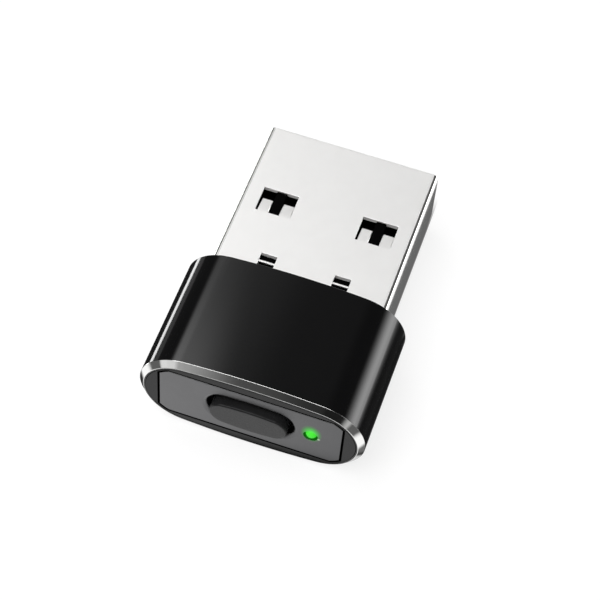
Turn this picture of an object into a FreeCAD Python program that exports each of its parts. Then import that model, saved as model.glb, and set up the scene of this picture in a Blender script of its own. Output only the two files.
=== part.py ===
import FreeCAD, Part
import os

# Plug-in mouse mover: an oval sleeve with a push button and an indicator at the
# front, and a standard plug at the rear. Millimetres, X across, Y towards the plug
# tip, Z up. The resting flat lies at zero height, and the part is centred in X and Y.

# Plug shell
plug_width = 12.1
plug_height = 4.5
plug_wall = 0.3
plug_corner = 0.3
plug_exposed = 12.3
plug_inset = 2.5
tip_break = 0.1
seam_gap = 0.06

# Latch windows of the plug, measured from the tip
window_start = 5.25
window_length = 2.0
window_width = 2.45
window_side_margin = 2.53
flap_slit = 0.15
flap_width = 0.76
flap_length = 1.25
flap_thickness = 0.2
flap_drop = 0.22

# Rear notches of the plug shell, measured from the tip
notch_start = 10.55
notch_length = 1.6
notch_width = 1.1
notch_side_margin = 3.49
bar_start = 11.08
bar_width = 0.16
bar_thickness = 0.14
bar_drop = 0.04

# Plug tongue and rear block
tongue_start = 0.5
tongue_end = 10.2
hollow_height = 1.95
window_pocket = 0.75
window_pocket_margin = 0.1
rib_setback = 0.06
block_step = 0.3

# Contacts
contact_thickness = 0.2
contact_width = 1.0
contact_inner_centre = 1.0
contact_side_margin = 2.55
contact_outer_start = 1.1
contact_inner_start = 2.1
contact_tail = 1.5
tail_width = 0.6
contact_proud = 0.02

# Sleeve, sized by its margins round the plug
sleeve_side_margin = 1.55
sleeve_top_margin = 1.225
sleeve_crown = 0.205
sleeve_wall = 0.5
sleeve_bevel = 0.37
sleeve_bevel_round = 0.05
sleeve_rear_break = 0.06
sleeve_rear_wall = 0.9
rest_flat_depth = 0.03

# Front bezel and faceplate
bezel_depth = 1.5
bezel_rim = 0.1
plate_end_margin = 1.5
plate_thickness = 0.6
plate_top_margin = 1.235
plate_gap = 0.15
opening_side_gap = 0.33
opening_top_gap = 0.25
opening_crown = 0.05

# Push button
button_protrusion = 0.45
button_lens_spacing = 1.46
button_half_height = 1.1
button_crown = 0.1
button_edge_round = 0.13
button_clearance = 0.12
flange_margin = 0.5
flange_thickness = 0.45
button_rest_gap = 0.04
button_travel = 0.25
boss_width = 2.4
boss_height = 0.9
boss_length = 0.25

# Indicator light guide with a domed end
lens_end_margin = 2.02
lens_radius = 0.42
lens_proud = 0.06
dome_share = 0.7
lens_collar_radius = 0.78
lens_collar_thickness = 0.35
lens_length = 2.4

# Circuit board
board_setback = 2.55
board_length = 3.95
board_thickness = 0.8
board_plug_gap = 0.15
board_corner = 0.3

# Side-push switch
switch_setback = 0.05
switch_half_width = 2.2
switch_depth = 1.75
switch_height = 2.4
cover_thickness = 0.15
cover_top_length = 1.3
plunger_radius = 0.55
plunger_flange_radius = 0.85
plunger_flange_thickness = 0.15
plunger_touch_gap = 0.02
dome_radius = 0.9
dome_height = 0.25
dome_thickness = 0.08
pocket_radius = 1.0
pocket_depth = 1.0
terminal_width = 0.5
terminal_reach = 0.6
terminal_height = 0.7
terminal_thickness = 0.15

# Parts soldered to the board
led_width = 1.6
led_depth = 0.5
led_height = 0.65
led_window_height = 0.4
led_window_width = 1.1
led_recess = 0.08
chip_width = 3.0
chip_height = 0.7
chip_standoff = 0.05
lead_width = 0.28
lead_reach = 0.25
lead_pitch = 0.65
lead_thickness = 0.12
crystal_width = 1.6
crystal_length = 2.0
crystal_height = 0.5
crystal_lid_margin = 0.15
crystal_lid_height = 0.12
regulator_width = 1.4
regulator_length = 2.6
regulator_height = 0.8
regulator_lead_reach = 0.35
regulator_lead_width = 0.35
regulator_lead_pitch = 0.9
chip_part_length = 1.0
chip_part_width = 0.5
capacitor_height = 0.5
resistor_height = 0.35
end_cap_length = 0.22
end_cap_thickness = 0.03
solder_length = 1.0
solder_margin = 0.2
solder_height = 0.35

# Board carrier
tray_thickness = 0.4
rail_top = 0.9
rail_lip = 0.25

# Shell anchors on the board
anchor_length = 1.3
anchor_height = 0.9
anchor_solder_width = 0.35
anchor_solder_height = 0.3
anchor_solder_length = 0.9

# Clearances
static_fit = 0.03
lens_fit = 0.04
overrun = 1.0

# Places of the small parts on the board, as shares of its half width and its length
capacitor_shares = ((-0.76, 0.22), (-0.76, 0.42), (0.72, 0.39))
resistor_shares = ((-0.76, 0.02), (0.72, 0.18))
chip_centre_share = 0.52
crystal_centre_share = -0.66
regulator_centre_share = 0.68
terminal_shares = (0.42, 0.82)
slope_margin_share = 0.5

# Derived sizes
sleeve_width = plug_width + 2 * sleeve_side_margin
sleeve_height = plug_height + 2 * sleeve_top_margin
sleeve_length = board_setback + board_length + board_plug_gap + plug_inset
sleeve_end_radius = sleeve_height / 2 - sleeve_crown
window_centre = plug_width / 2 - window_side_margin
tongue_gap = window_width - flap_slit - 2 * flap_width - static_fit
rib_half_width = tongue_gap / 2 - static_fit
rib_offset = (flap_slit - static_fit) / 2
notch_centre = plug_width / 2 - notch_side_margin
contact_outer_centre = plug_width / 2 - contact_side_margin
plate_half_width = sleeve_width / 2 - plate_end_margin
plate_half_height = sleeve_height / 2 - plate_top_margin
lens_centre = plate_half_width - lens_end_margin
button_half_width = lens_centre - button_lens_spacing
button_end_radius = button_half_height - button_crown
opening_half_width = button_half_width + opening_side_gap
opening_half_height = button_half_height + opening_top_gap
opening_end_radius = opening_half_height - opening_crown
board_half_width = plug_width / 2 - plug_wall - static_fit

# Derived planes
total_length = plug_exposed + sleeve_length + button_protrusion
y_front = button_protrusion - total_length / 2
y_rear = y_front + sleeve_length
y_tip = y_rear + plug_exposed
y_shell_end = y_rear - plug_inset
z_axis = sleeve_height / 2 - rest_flat_depth
z_board_top = z_axis - contact_proud
z_board_bottom = z_board_top - board_thickness
y_board = y_front + board_setback
y_board_end = y_board + board_length
y_floor = y_front + plate_thickness
y_bezel_back = y_front + bezel_depth
z_plunger = z_board_top + (switch_height - cover_thickness) / 2


def point(x, y, z):
    return FreeCAD.Vector(x, y, z)


def block(x0, x1, y0, y1, z0, z1):
    return Part.makeBox(x1 - x0, y1 - y0, z1 - z0, point(x0, y0, z0))


def centred_block(x, half, y0, y1, z0, z1):
    return block(x - half, x + half, y0, y1, z0, z1)


def rod(radius, x, z, y0, y1):
    return Part.makeCylinder(radius, y1 - y0, point(x, y0, z), point(0, 1, 0))


def fuse_all(shapes):
    return shapes[0].multiFuse(shapes[1:]) if len(shapes) > 1 else shapes[0]


# Four tangent arcs: two ends of one radius, and a shallow crown above and below
def oval(half_width, half_height, end_radius, y0, y1):
    reach = half_width - end_radius
    rise = half_height - end_radius
    crown = (reach ** 2 + half_height ** 2 - end_radius ** 2) / (2 * rise)
    drop = crown - half_height
    scale = end_radius / (crown - end_radius)
    tangent_x = reach + reach * scale
    tangent_z = drop * scale
    corners = [point(tangent_x, y0, z_axis + tangent_z),
               point(-tangent_x, y0, z_axis + tangent_z),
               point(-tangent_x, y0, z_axis - tangent_z),
               point(tangent_x, y0, z_axis - tangent_z)]
    middles = [point(0, y0, z_axis + half_height),
               point(-half_width, y0, z_axis),
               point(0, y0, z_axis - half_height),
               point(half_width, y0, z_axis)]
    arcs = []
    for index in range(4):
        follow = corners[(index + 1) % 4]
        arcs.append(Part.Arc(corners[index], middles[index], follow).toShape())
    face = Part.Face(Part.Wire(arcs))
    return face.extrude(point(0, y1 - y0, 0))


def sleeve_oval(inset, y0, y1):
    return oval(sleeve_width / 2 - inset, sleeve_height / 2 - inset,
                sleeve_end_radius - inset, y0, y1)


def edges_at(shape, y):
    found = []
    for edge in shape.Edges:
        box = edge.BoundBox
        if abs(box.YMin - y) < static_fit / 2 and abs(box.YMax - y) < static_fit / 2:
            found.append(edge)
    return found


def plug_opening(y0, y1):
    half_width = plug_width / 2 + static_fit
    half_height = plug_height / 2 + static_fit
    body = centred_block(0, half_width, y0, y1, z_axis - half_height, z_axis + half_height)
    long_edges = [edge for edge in body.Edges
                  if abs(edge.BoundBox.YLength - (y1 - y0)) < static_fit]
    return body.makeFillet(plug_corner + static_fit, long_edges)


def housing_sleeve():
    keep = block(-sleeve_width, sleeve_width, y_front - overrun, y_rear + overrun,
                 0, sleeve_height + overrun)
    body = sleeve_oval(0, y_front, y_rear).common(keep)
    body = body.makeChamfer(sleeve_bevel, edges_at(body, y_front))
    body = body.makeFillet(sleeve_bevel_round, edges_at(body, y_front + sleeve_bevel))
    body = body.makeFillet(sleeve_rear_break, edges_at(body, y_rear))
    bore = sleeve_oval(sleeve_wall, y_front - overrun, y_rear - sleeve_rear_wall)
    opening = plug_opening(y_rear - sleeve_rear_wall - overrun, y_rear + overrun)
    return body.cut(bore).cut(opening)


def button_oval(grow, y0, y1):
    return oval(button_half_width + grow, button_half_height + grow,
                button_end_radius + grow, y0, y1)


# A straight-sided outline whose corners follow the sleeve's oval
def plate_outline(gap, y0, y1):
    body = sleeve_oval(sleeve_wall + bezel_rim + plate_gap - gap, y0, y1)
    half_height = plate_half_height + gap
    keep = centred_block(0, plate_half_width + gap, y0 - overrun, y1 + overrun,
                         z_axis - half_height, z_axis + half_height)
    return body.common(keep)


def front_bezel():
    body = sleeve_oval(sleeve_wall + static_fit, y_front, y_bezel_back)
    recess = plate_outline(plate_gap, y_front - overrun, y_floor)
    opening = button_oval(button_clearance, y_front, y_bezel_back + overrun)
    hole = rod(lens_radius + lens_fit, lens_centre, z_axis, y_front,
               y_bezel_back + overrun)
    return body.cut(recess).cut(opening).cut(hole)


def faceplate():
    body = plate_outline(0, y_front, y_floor)
    opening = oval(opening_half_width, opening_half_height, opening_end_radius,
                   y_front - overrun, y_floor + overrun)
    hole = rod(lens_radius + lens_fit, lens_centre, z_axis, y_front - overrun,
               y_floor + overrun)
    return body.cut(opening).cut(hole)


y_button_flange = y_bezel_back + button_rest_gap
y_button_back = y_button_flange + flange_thickness
y_button_boss = y_button_back + boss_length


def button_cap():
    y_face = y_front - button_protrusion
    head = button_oval(0, y_face, y_button_back)
    head = head.makeFillet(button_edge_round, edges_at(head, y_face))
    flange = button_oval(flange_margin, y_button_flange, y_button_back)
    boss = centred_block(0, boss_width / 2, y_button_flange, y_button_boss,
                         z_plunger - boss_height / 2, z_plunger + boss_height / 2)
    return head.multiFuse([flange, boss]).removeSplitter()


def led_lens():
    y_tip = y_front - lens_proud
    height = lens_radius * dome_share
    sphere = (lens_radius ** 2 + height ** 2) / (2 * height)
    share = 1 / 2 ** 0.5
    lean = (sphere ** 2 - (lens_radius * share) ** 2) ** 0.5
    tip = point(lens_centre, y_tip, z_axis)
    middle = point(lens_centre + lens_radius * share, y_tip + sphere - lean, z_axis)
    rim = point(lens_centre + lens_radius, y_tip + height, z_axis)
    corner = point(lens_centre + lens_radius, y_front + lens_length, z_axis)
    end = point(lens_centre, y_front + lens_length, z_axis)
    edges = [Part.Arc(tip, middle, rim).toShape(), Part.makeLine(rim, corner),
             Part.makeLine(corner, end), Part.makeLine(end, tip)]
    pipe = Part.Face(Part.Wire(edges)).revolve(tip, point(0, 1, 0), 360)
    y_collar = y_bezel_back + static_fit
    collar = rod(lens_collar_radius, lens_centre, z_axis, y_collar,
                 y_collar + lens_collar_thickness)
    return pipe.fuse(collar).removeSplitter()


def plug_tube():
    half_width = plug_width / 2
    half_height = plug_height / 2
    outer = centred_block(0, half_width, y_shell_end, y_tip,
                          z_axis - half_height, z_axis + half_height)
    long_edges = [edge for edge in outer.Edges
                  if edge.BoundBox.YLength > plug_exposed]
    outer = outer.makeFillet(plug_corner, long_edges)
    outer = outer.makeChamfer(tip_break, edges_at(outer, y_tip))
    inner_half_width = half_width - plug_wall
    inner_half_height = half_height - plug_wall
    inner = centred_block(0, inner_half_width, y_shell_end - overrun, y_tip + overrun,
                          z_axis - inner_half_height, z_axis + inner_half_height)
    return outer.cut(inner)


def window_cut(x, z0, z1):
    y_high = y_tip - window_start
    return centred_block(x, window_width / 2, y_high - window_length, y_high, z0, z1)


# Two tongues of the shell in each upper window, bent in towards the tip. One has an
# open slit along its outer side, the other runs close to the window's edge.
def window_flap(x0, x1):
    y_root = y_tip - window_start - window_length
    y_free = y_root + flap_length
    z_top = z_axis + plug_height / 2
    z_low = z_top - flap_thickness
    outline = [point(x0, y_root - plug_wall, z_top),
               point(x0, y_root, z_top),
               point(x0, y_free, z_top - flap_drop),
               point(x0, y_free, z_low - flap_drop),
               point(x0, y_root, z_low),
               point(x0, y_root - plug_wall, z_low)]
    face = Part.Face(Part.makePolygon(outline + outline[:1]))
    return face.extrude(point(x1 - x0, 0, 0))


def notch_bar(x):
    y_high = y_tip - bar_start
    z_top = z_axis + plug_height / 2 - bar_drop
    reach = notch_width / 2 + plug_wall / 2
    return centred_block(x, reach, y_high - bar_width, y_high,
                         z_top - bar_thickness, z_top)


def shell_anchor(side):
    z_low = z_board_top - anchor_height / 2
    inner = plug_width / 2 - plug_wall
    x0, x1 = sorted((side * inner, side * plug_width / 2))
    return block(x0, x1, y_shell_end - anchor_length, y_shell_end + plug_wall,
                 z_low, z_low + anchor_height)


def usb_shell():
    shell = plug_tube()
    z_top = z_axis + plug_height / 2
    z_mid = z_axis
    z_low = z_axis - plug_height / 2
    y_notch = y_tip - notch_start
    extras = []
    for side in (-1, 1):
        x = side * window_centre
        shell = shell.cut(window_cut(x, z_mid, z_top + overrun))
        shell = shell.cut(window_cut(x, z_low - overrun, z_mid))
        notch = centred_block(side * notch_centre, notch_width / 2,
                              y_notch - notch_length, y_notch, z_mid, z_top + overrun)
        shell = shell.cut(notch)
        x_near = x - window_width / 2 + flap_slit
        x_far = x + window_width / 2 - static_fit
        extras.append(window_flap(x_near, x_near + flap_width))
        extras.append(window_flap(x_far - flap_width, x_far))
        extras.append(notch_bar(side * notch_centre))
        extras.append(shell_anchor(side))
    seam = centred_block(0, seam_gap / 2, y_shell_end - overrun, y_tip + overrun,
                         z_low - overrun, z_mid)
    return shell.multiFuse(extras).cut(seam).removeSplitter()


contact_places = (("contact_vbus", -contact_outer_centre, contact_outer_start),
                  ("contact_dminus", -contact_inner_centre, contact_inner_start),
                  ("contact_dplus", contact_inner_centre, contact_inner_start),
                  ("contact_gnd", contact_outer_centre, contact_outer_start))
z_contact_low = z_axis - contact_proud
z_contact_high = z_contact_low + contact_thickness
y_tongue_end = y_tip - tongue_end
y_block_end = y_shell_end + block_step


def contact(x, start):
    y_start = y_tip - start
    blade = centred_block(x, contact_width / 2, y_block_end, y_start,
                          z_contact_low, z_contact_high)
    tail = centred_block(x, tail_width / 2, y_block_end - contact_tail, y_block_end,
                         z_contact_low, z_contact_high)
    return blade.fuse(tail).removeSplitter()


def contact_channel(x, y0, y1):
    return centred_block(x, contact_width / 2 + static_fit, y0, y1,
                         z_axis - overrun, z_contact_high + static_fit)


# Rib of the insulator that stands between the two tongues, just under the shell's face
def window_rib(side):
    x = side * window_centre + rib_offset
    y_high = y_tip - window_start - static_fit
    y_low = y_tip - window_start - window_length + static_fit
    z_face = z_axis + plug_height / 2
    return centred_block(x, rib_half_width, y_low, y_high, z_axis, z_face - rib_setback)


def usb_insulator():
    half_width = plug_width / 2 - plug_wall - static_fit
    z_high = z_axis + plug_height / 2 - plug_wall - static_fit
    body = centred_block(0, half_width, y_tongue_end, y_tip - tongue_start,
                         z_axis, z_high)
    pocket_half = window_width / 2 + window_pocket_margin
    y_high = y_tip - window_start + window_pocket_margin
    y_low = y_tip - window_start - window_length - window_pocket_margin
    for side in (-1, 1):
        pocket = centred_block(side * window_centre, pocket_half, y_low, y_high,
                               z_high - window_pocket, z_high + overrun)
        body = body.cut(pocket).fuse(window_rib(side))
    for name, x, start in contact_places:
        channel = contact_channel(x, y_tongue_end - overrun, y_tip - start + static_fit)
        body = body.cut(channel)
    return body


def usb_rear_block():
    half_width = plug_width / 2 - plug_wall - static_fit
    half_height = plug_height / 2 - plug_wall - static_fit
    body = centred_block(0, half_width, y_block_end, y_tongue_end - static_fit,
                         z_axis - half_height, z_axis + half_height)
    for name, x, start in contact_places:
        channel = centred_block(x, contact_width / 2 + static_fit,
                                y_block_end - overrun, y_tongue_end + overrun,
                                z_contact_low - static_fit, z_contact_high + static_fit)
        body = body.cut(channel)
    return body


def circuit_board():
    body = centred_block(0, board_half_width, y_board, y_board_end,
                         z_board_bottom, z_board_top)
    upright = [edge for edge in body.Edges
               if abs(edge.BoundBox.ZLength - board_thickness) < static_fit]
    return body.makeChamfer(board_corner, upright)


# Tray under the board, with side rails that hold the board and run on beside the plug
def board_carrier():
    y_low = y_bezel_back + static_fit
    y_high = y_rear - sleeve_rear_wall - static_fit
    y_seat = y_shell_end - static_fit
    inner = board_half_width + static_fit
    lip = board_half_width - rail_lip
    z_low = z_axis - sleeve_height / 2 + sleeve_wall + static_fit
    z_high = z_board_top + rail_top
    room = sleeve_oval(sleeve_wall + static_fit, y_low, y_high)
    keep = centred_block(0, sleeve_width / 2, y_low, y_high, z_low, z_high)
    mould = room.common(keep)
    well = centred_block(0, lip, y_low - overrun, y_seat, z_low + tray_thickness,
                         z_high + overrun)
    slot = centred_block(0, inner, y_board - static_fit, y_seat,
                         z_board_bottom - static_fit, z_board_top + static_fit)
    half_width = plug_width / 2 + static_fit
    plug = centred_block(0, half_width, y_seat - overrun / 2, y_high + overrun,
                         z_axis - plug_height / 2 - static_fit, z_high + overrun)
    mould = mould.cut(well).cut(slot).cut(plug)
    y_anchor = y_shell_end - anchor_length - static_fit
    for side in (-1, 1):
        x_inner = plug_width / 2 - plug_wall - static_fit - anchor_solder_width
        x0, x1 = sorted((side * x_inner, side * half_width))
        relief = block(x0, x1, y_anchor, y_high,
                       z_board_bottom - static_fit, z_high + overrun)
        mould = mould.cut(relief)
    return mould


y_switch = y_board + switch_setback
y_switch_body = y_switch + cover_thickness
y_pocket_end = y_switch_body + pocket_depth


def tact_switch_body():
    body = centred_block(0, switch_half_width, y_switch_body, y_switch + switch_depth,
                         z_board_top, z_board_top + switch_height - cover_thickness)
    pocket = rod(pocket_radius, 0, z_plunger, y_switch_body - overrun, y_pocket_end)
    return body.cut(pocket)


def tact_switch_cover():
    z_high = z_board_top + switch_height
    z_low = z_high - cover_thickness
    front = centred_block(0, switch_half_width, y_switch, y_switch_body,
                          z_board_top, z_high)
    top = centred_block(0, switch_half_width, y_switch_body - cover_thickness / 2,
                        y_switch_body + cover_top_length, z_low, z_high)
    hole = rod(plunger_radius + lens_fit, 0, z_plunger, y_switch - overrun,
               y_switch_body + overrun)
    return front.fuse(top).removeSplitter().cut(hole)


y_plunger = y_button_boss + plunger_touch_gap
y_plunger_flange = y_switch_body + static_fit
y_plunger_end = y_plunger_flange + plunger_flange_thickness


def tact_switch_plunger():
    stem = rod(plunger_radius, 0, z_plunger, y_plunger, y_plunger_end)
    flange = rod(plunger_flange_radius, 0, z_plunger, y_plunger_flange, y_plunger_end)
    return stem.fuse(flange).removeSplitter()


# Shallow spring disc, its crown against the plunger
def tact_switch_dome():
    radius = (dome_radius ** 2 + dome_height ** 2) / (2 * dome_height)
    y_crown = y_plunger_end + static_fit
    y_centre = y_crown + radius
    outer = Part.makeSphere(radius, point(0, y_centre, z_plunger))
    inner = Part.makeSphere(radius - dome_thickness, point(0, y_centre, z_plunger))
    keep = rod(dome_radius, 0, z_plunger, y_crown - overrun, y_crown + dome_height)
    return outer.cut(inner).common(keep)


def tact_switch_terminals():
    pieces = []
    for side in (-1, 1):
        for share in terminal_shares:
            y_mid = y_switch_body + share * (switch_depth - cover_thickness)
            y0 = y_mid - terminal_width / 2
            y1 = y_mid + terminal_width / 2
            inner = switch_half_width
            foot = sorted((side * inner, side * (inner + terminal_reach)))
            post = sorted((side * inner, side * (inner + terminal_thickness)))
            pieces.append(block(foot[0], foot[1], y0, y1, z_board_top,
                                z_board_top + terminal_thickness).fuse(
                          block(post[0], post[1], y0, y1, z_board_top,
                                z_board_top + terminal_height)).removeSplitter())
    return Part.makeCompound(pieces)


def led_chip():
    z_high = z_board_top + led_height
    y_led = y_board + switch_setback
    body = centred_block(lens_centre, led_width / 2, y_led, y_led + led_depth,
                         z_board_top, z_high)
    z_mid = (z_board_top + z_high) / 2
    recess = centred_block(lens_centre, led_window_width / 2, y_led - overrun,
                           y_led + led_recess, z_mid - led_window_height / 2,
                           z_mid + led_window_height / 2)
    return body.cut(recess)


y_chip = y_board + chip_centre_share * board_length


def microcontroller():
    half = chip_width / 2
    z_high = z_board_bottom - chip_standoff
    return centred_block(0, half, y_chip - half, y_chip + half,
                         z_high - chip_height, z_high)


def microcontroller_leads():
    half = chip_width / 2
    z_low = z_board_bottom - lead_thickness
    z_body = z_board_bottom - chip_standoff
    body = centred_block(0, half, y_chip - half, y_chip + half, z_low - overrun, z_body)
    pieces = []
    for side in (-1, 1):
        for step in (-1, 0, 1):
            x0, x1 = sorted((side * (half - lead_reach), side * (half + lead_reach)))
            y_mid = y_chip + step * lead_pitch
            lead = block(x0, x1, y_mid - lead_width / 2, y_mid + lead_width / 2,
                         z_low, z_board_bottom)
            pieces.append(lead.cut(body))
    return Part.makeCompound(pieces)


def crystal():
    x = crystal_centre_share * board_half_width
    half = crystal_width / 2
    z_low = z_board_bottom - crystal_height
    z_lid = z_low + crystal_lid_height
    base = centred_block(x, half, y_chip - crystal_length / 2,
                         y_chip + crystal_length / 2, z_lid, z_board_bottom)
    inner = crystal_length / 2 - crystal_lid_margin
    lid = centred_block(x, half - crystal_lid_margin, y_chip - inner, y_chip + inner,
                        z_low, z_lid)
    return base.fuse(lid)


def regulator_centre():
    return regulator_centre_share * board_half_width


def voltage_regulator():
    x = regulator_centre()
    z_high = z_board_bottom - chip_standoff
    return centred_block(x, regulator_width / 2, y_chip - regulator_length / 2,
                         y_chip + regulator_length / 2, z_high - regulator_height,
                         z_high)


def regulator_leads():
    x = regulator_centre()
    half = regulator_width / 2
    z_low = z_board_bottom - lead_thickness
    places = ((-1, -1), (-1, 1), (1, 0))
    body = voltage_regulator()
    pieces = []
    for side, step in places:
        x0 = x + side * (half - regulator_lead_reach)
        x1 = x + side * (half + regulator_lead_reach)
        low, high = sorted((x0, x1))
        y_mid = y_chip + step * regulator_lead_pitch
        lead = block(low, high, y_mid - regulator_lead_width / 2,
                     y_mid + regulator_lead_width / 2, z_low, z_board_bottom)
        pieces.append(lead.cut(body))
    return Part.makeCompound(pieces)


# Ceramic body with a thin metal cap at each end, as one soldered part
def chip_part(x, y, height):
    half = chip_part_length / 2
    width = chip_part_width / 2
    core = centred_block(x, half - end_cap_length, y - width + end_cap_thickness,
                         y + width - end_cap_thickness, z_board_top,
                         z_board_top + height - end_cap_thickness)
    pieces = [core]
    for side in (-1, 1):
        x0, x1 = sorted((x + side * (half - end_cap_length), x + side * half))
        pieces.append(block(x0, x1, y - width, y + width, z_board_top,
                            z_board_top + height))
    return fuse_all(pieces)


def chip_parts(shares, height):
    pieces = []
    for x_share, y_share in shares:
        x = x_share * board_half_width
        y = y_board + chip_part_width + y_share * board_length
        pieces.append(chip_part(x, y, height))
    return Part.makeCompound(pieces)


def capacitors():
    return chip_parts(capacitor_shares, capacitor_height)


def resistors():
    return chip_parts(resistor_shares, resistor_height)


def contact_solder():
    pieces = []
    y0 = y_block_end - contact_tail - solder_margin / 2
    for name, x, start in contact_places:
        half = tail_width / 2 + solder_margin
        mound = centred_block(x, half, y0, y0 + solder_length, z_board_top,
                              z_board_top + solder_height)
        upper = [edge for edge in mound.Edges
                 if edge.BoundBox.ZMin > z_board_top + solder_height / 2]
        mound = mound.makeChamfer(solder_margin * slope_margin_share, upper)
        pieces.append(mound.cut(contact(x, start)))
    return Part.makeCompound(pieces)


def shell_solder():
    pieces = []
    y1 = y_shell_end - static_fit
    y0 = y1 - anchor_solder_length
    for side in (-1, 1):
        outer = plug_width / 2 - plug_wall
        x0, x1 = sorted((side * (outer - anchor_solder_width), side * outer))
        pieces.append(block(x0, x1, y0, y1, z_board_top,
                            z_board_top + anchor_solder_height))
    return Part.makeCompound(pieces)


nodes = {
    "housing_sleeve": housing_sleeve(),
    "front_bezel": front_bezel(),
    "faceplate": faceplate(),
    "button_cap": button_cap(),
    "led_lens": led_lens(),
    "usb_shell": usb_shell(),
    "usb_insulator": usb_insulator(),
    "usb_rear_block": usb_rear_block(),
    "board_carrier": board_carrier(),
    "circuit_board": circuit_board(),
    "tact_switch_body": tact_switch_body(),
    "tact_switch_cover": tact_switch_cover(),
    "tact_switch_plunger": tact_switch_plunger(),
    "tact_switch_dome": tact_switch_dome(),
    "tact_switch_terminals": tact_switch_terminals(),
    "led_chip": led_chip(),
    "microcontroller": microcontroller(),
    "microcontroller_leads": microcontroller_leads(),
    "crystal": crystal(),
    "voltage_regulator": voltage_regulator(),
    "regulator_leads": regulator_leads(),
    "capacitors": capacitors(),
    "resistors": resistors(),
    "contact_solder": contact_solder(),
    "shell_solder": shell_solder(),
}
for name, x, start in contact_places:
    nodes[name] = contact(x, start)

os.makedirs("parts", exist_ok=True)
for name, shape in nodes.items():
    shape.exportStep("parts/" + name + ".step")
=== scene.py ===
import math
import bpy
from mathutils import Matrix, Vector
from mathutils.geometry import tessellate_polygon

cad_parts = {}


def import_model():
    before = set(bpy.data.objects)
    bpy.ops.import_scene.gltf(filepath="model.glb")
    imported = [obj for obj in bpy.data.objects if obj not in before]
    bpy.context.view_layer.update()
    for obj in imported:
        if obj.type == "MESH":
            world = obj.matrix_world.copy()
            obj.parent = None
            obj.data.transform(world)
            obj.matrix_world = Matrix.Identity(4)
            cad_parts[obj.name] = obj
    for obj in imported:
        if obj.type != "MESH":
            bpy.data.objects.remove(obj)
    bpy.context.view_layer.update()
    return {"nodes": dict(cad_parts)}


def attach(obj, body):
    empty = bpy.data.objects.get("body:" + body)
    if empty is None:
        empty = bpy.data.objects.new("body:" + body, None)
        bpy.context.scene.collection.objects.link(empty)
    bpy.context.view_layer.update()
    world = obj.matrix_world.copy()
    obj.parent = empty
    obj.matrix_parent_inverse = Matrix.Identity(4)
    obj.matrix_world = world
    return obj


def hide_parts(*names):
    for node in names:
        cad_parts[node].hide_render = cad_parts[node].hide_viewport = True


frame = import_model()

MM = 0.001

# Main sizes of the object, in millimetres
SLEEVE_HALF_W, SLEEVE_HALF_H, SLEEVE_END_R = 7.6, 3.475, 3.27
PLUG_HALF_W, PLUG_HALF_H, PLUG_CORNER, PLUG_WALL = 6.05, 2.25, 0.3, 0.3
WINDOW_X, WINDOW_HALF_W, WINDOW_Y = 3.52, 1.225, (3.7, 5.7)
NOTCH_X, NOTCH_HALF_W, NOTCH_Y = 2.56, 0.55, (-1.2, 0.4)
PLATE_HALF_W, PLATE_HALF_H, PLATE_INSET, PLATE_GAP = 6.1, 2.24, 0.75, 0.15
LENS_X, LENS_R, LENS_HOLE, DOME_DEPTH = 4.08, 0.41, 0.48, 0.34
BUTTON_PROUD = 0.45

# Half width, half height and end radius of the ovals round the button
BUTTON_OVAL = (2.62, 1.1, 1.0)
OPENING_OVAL = (2.91, 1.31, 1.26)
BACK_HOLE_OVAL = (2.74, 1.22, 1.12)
OVAL_STEPS = (40, 40)

# Height of the axis, and places along it from the plug's tip to the front face
Z_AXIS = 3.445
Y_TIP = 10.95
Y_REAR = -1.35
Y_SHELL_END = -3.85
Y_LENS_END = -8.1
Y_BUTTON_END, Y_FLANGE, Y_NECK = -8.51, -8.96, -9.2
Y_BACK = -9.0
Y_FLOOR = -9.9
Y_FRONT = -10.5


# Outlines
def oval_frame(half_w, half_h, end_r, end_steps=72, crown_steps=56):
    """Centre, radius and outward direction of each point of a four-arc oval."""
    reach = half_w - end_r
    crown_r = (reach ** 2 + half_h ** 2 - end_r ** 2) / (2 * (half_h - end_r))
    drop = crown_r - half_h
    tilt = math.atan2(reach, drop)
    arcs = (((reach, 0), end_r, -math.pi / 2 + tilt, math.pi / 2 - tilt, end_steps),
            ((0, -drop), crown_r, math.pi / 2 - tilt, math.pi / 2 + tilt, crown_steps),
            ((-reach, 0), end_r, math.pi / 2 + tilt, 1.5 * math.pi - tilt, end_steps),
            ((0, drop), crown_r, 1.5 * math.pi - tilt, 1.5 * math.pi + tilt, crown_steps))
    frames = []
    for centre, radius, a0, a1, steps in arcs:
        for i in range(steps):
            a = a0 + (a1 - a0) * i / steps
            frames.append((centre, radius, (math.cos(a), math.sin(a))))
    return frames


def ring(frames, inset, y, flatten=False):
    """Points of an oval offset inwards by inset, in the plane y, cut flat at the floor if asked."""
    points = []
    for centre, radius, d in frames:
        x = centre[0] + (radius - inset) * d[0]
        z = Z_AXIS + centre[1] + (radius - inset) * d[1]
        points.append((x, y, max(z, 0.0) if flatten else z))
    return points


def flat_ring(frames, inset):
    return [(x, z) for x, y, z in ring(frames, inset, 0)]


SLEEVE = oval_frame(SLEEVE_HALF_W, SLEEVE_HALF_H, SLEEVE_END_R)
BUTTON = oval_frame(*BUTTON_OVAL, *OVAL_STEPS)
OPENING = oval_frame(*OPENING_OVAL, *OVAL_STEPS)
BACK_HOLE = oval_frame(*BACK_HOLE_OVAL, *OVAL_STEPS)


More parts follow.
